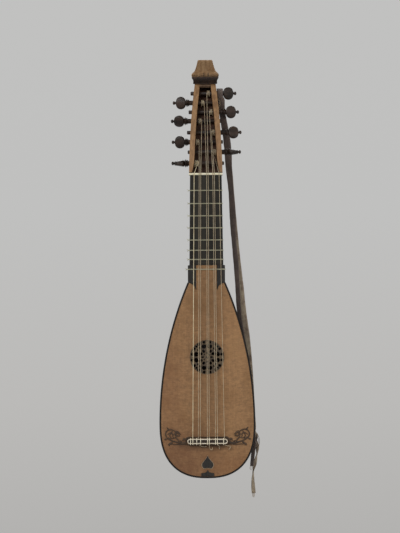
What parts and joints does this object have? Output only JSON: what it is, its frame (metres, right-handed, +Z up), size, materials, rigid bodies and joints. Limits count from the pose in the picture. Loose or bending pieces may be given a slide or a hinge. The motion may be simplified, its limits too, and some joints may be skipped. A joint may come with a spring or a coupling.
{
  "type": "pandurina",
  "caption": "Small pear-shaped lute with ribbed bowl, carved rose, gut frets, bent-back pegbox and side tuning pegs.",
  "frame": {"origin": "the waist of the finial, on its centre line, where a thread or wire holds the instrument up", "axes": "+Z up along the neck towards the finial, -Y out of the front of the belly, +X to the right of someone facing the belly"},
  "size_m": [0.1224, 0.0808, 0.5432],
  "materials": {
    "spruce_belly": "aged varnished spruce",
    "inner_spruce": "bare spruce",
    "rose_parchment": "cut and darkened thin wood and parchment",
    "ebony": "polished ebony",
    "ebony_veneer": "satin ebony",
    "rib_wood": "satin dark rosewood",
    "bridge_wood": "satin dark fruitwood",
    "bone": "polished bone",
    "pegbox_wood": "worn varnished fruitwood",
    "dark_moulding": "satin dark wood",
    "finial_wood": "worn varnished fruitwood",
    "peg_wood": "turned rosewood",
    "gut_string": "polished gut",
    "gut_fret": "gut",
    "strap_dark": "worn silk ribbon, face",
    "strap_light": "worn silk ribbon, reverse"
  },
  "bodies": {
    "instrument": {"belly": "spruce_belly", "belly_bar_1": "inner_spruce", "belly_bar_2": "inner_spruce", "belly_bar_3": "inner_spruce", "neck_block": "inner_spruce", "tail_liner": "inner_spruce", "rose": "rose_parchment", "edge_binding": "ebony", "fingerboard": "ebony", "point_left": "ebony", "point_right": "ebony", "scroll_left": "ebony", "scroll_right": "ebony", "spade_inlay": "ebony", "tail_inlay": "ebony", "neck": "ebony_veneer", "end_clasp": "ebony_veneer", "rib_1": "rib_wood", "rib_2": "rib_wood", "rib_3": "rib_wood", "rib_4": "rib_wood", "rib_5": "rib_wood", "rib_6": "rib_wood", "rib_7": "rib_wood", "rib_8": "rib_wood", "rib_9": "rib_wood", "bridge": "bridge_wood", "bridge_rim": "bone", "nut": "bone", "cheek_left": "pegbox_wood", "cheek_right": "pegbox_wood", "pegbox_back": "pegbox_wood", "finial_moulding": "dark_moulding", "finial_cap": "finial_wood", "string_1": "gut_string", "string_2": "gut_string", "string_3": "gut_string", "string_4": "gut_string", "string_5": "gut_string", "string_6": "gut_string", "string_7": "gut_string", "string_8": "gut_string", "fret_1": "gut_fret", "fret_2": "gut_fret", "fret_3": "gut_fret", "fret_4": "gut_fret", "fret_5": "gut_fret", "fret_6": "gut_fret", "fret_7": "gut_fret", "fret_8": "gut_fret", "strap_dark": "strap_dark", "strap_light": "strap_light"},
    "peg_1": {"peg_1": "peg_wood"},
    "peg_2": {"peg_2": "peg_wood"},
    "peg_3": {"peg_3": "peg_wood"},
    "peg_4": {"peg_4": "peg_wood"},
    "peg_5": {"peg_5": "peg_wood"},
    "peg_6": {"peg_6": "peg_wood"},
    "peg_7": {"peg_7": "peg_wood"},
    "peg_8": {"peg_8": "peg_wood"}
  },
  "joints": [
    {"name": "peg_1_turn", "type": "hinge", "parent": "instrument", "child": "peg_1", "pos_m": [0, -0.0445, -0.11766], "axis": [1, 0, 0], "continuous": true},
    {"name": "peg_2_turn", "type": "hinge", "parent": "instrument", "child": "peg_2", "pos_m": [0, -0.03929, -0.10377], "axis": [1, 0, 0], "continuous": true},
    {"name": "peg_3_turn", "type": "hinge", "parent": "instrument", "child": "peg_3", "pos_m": [0, -0.03419, -0.09106], "axis": [1, 0, 0], "continuous": true},
    {"name": "peg_4_turn", "type": "hinge", "parent": "instrument", "child": "peg_4", "pos_m": [0, -0.02924, -0.07917], "axis": [1, 0, 0], "continuous": true},
    {"name": "peg_5_turn", "type": "hinge", "parent": "instrument", "child": "peg_5", "pos_m": [0, -0.02307, -0.06479], "axis": [1, 0, 0], "continuous": true},
    {"name": "peg_6_turn", "type": "hinge", "parent": "instrument", "child": "peg_6", "pos_m": [0, -0.01811, -0.0536], "axis": [1, 0, 0], "continuous": true},
    {"name": "peg_7_turn", "type": "hinge", "parent": "instrument", "child": "peg_7", "pos_m": [0, -0.01265, -0.04183], "axis": [1, 0, 0], "continuous": true},
    {"name": "peg_8_turn", "type": "hinge", "parent": "instrument", "child": "peg_8", "pos_m": [0, -0.00683, -0.03014], "axis": [1, 0, 0], "continuous": true}
  ]
}
